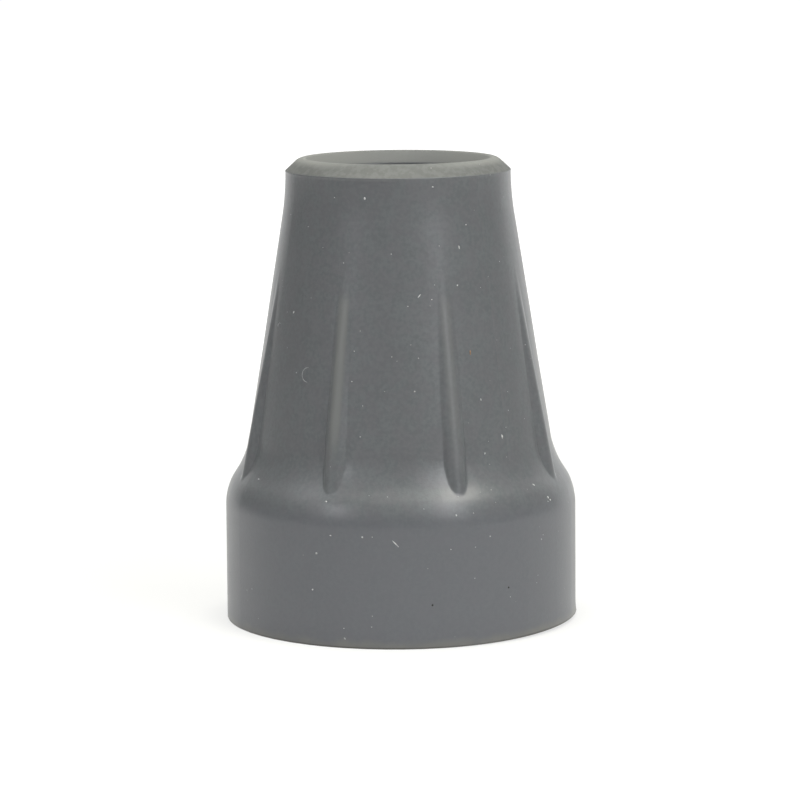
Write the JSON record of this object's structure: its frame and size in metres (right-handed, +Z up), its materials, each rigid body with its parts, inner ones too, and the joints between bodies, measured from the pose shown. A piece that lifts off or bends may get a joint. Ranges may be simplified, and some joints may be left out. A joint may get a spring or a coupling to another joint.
{
  "type": "cane tip",
  "caption": "Moulded rubber cane tip: a ribbed, tapered stem with a blind bore for the tube, a bevelled lip, a rounded shoulder and a wide foot with ring tread.",
  "frame": {"origin": "centre of the tread, level with the ground that the tip stands on", "axes": "+Z up along the bore, out of its mouth; +X and +Y each point midway between ribs"},
  "size_m": [0.04, 0.04, 0.0525],
  "materials": {
    "grey_rubber": "satin grey rubber with light dust"
  },
  "bodies": {
    "root": {"cane_tip": "grey_rubber"}
  },
  "joints": []
}
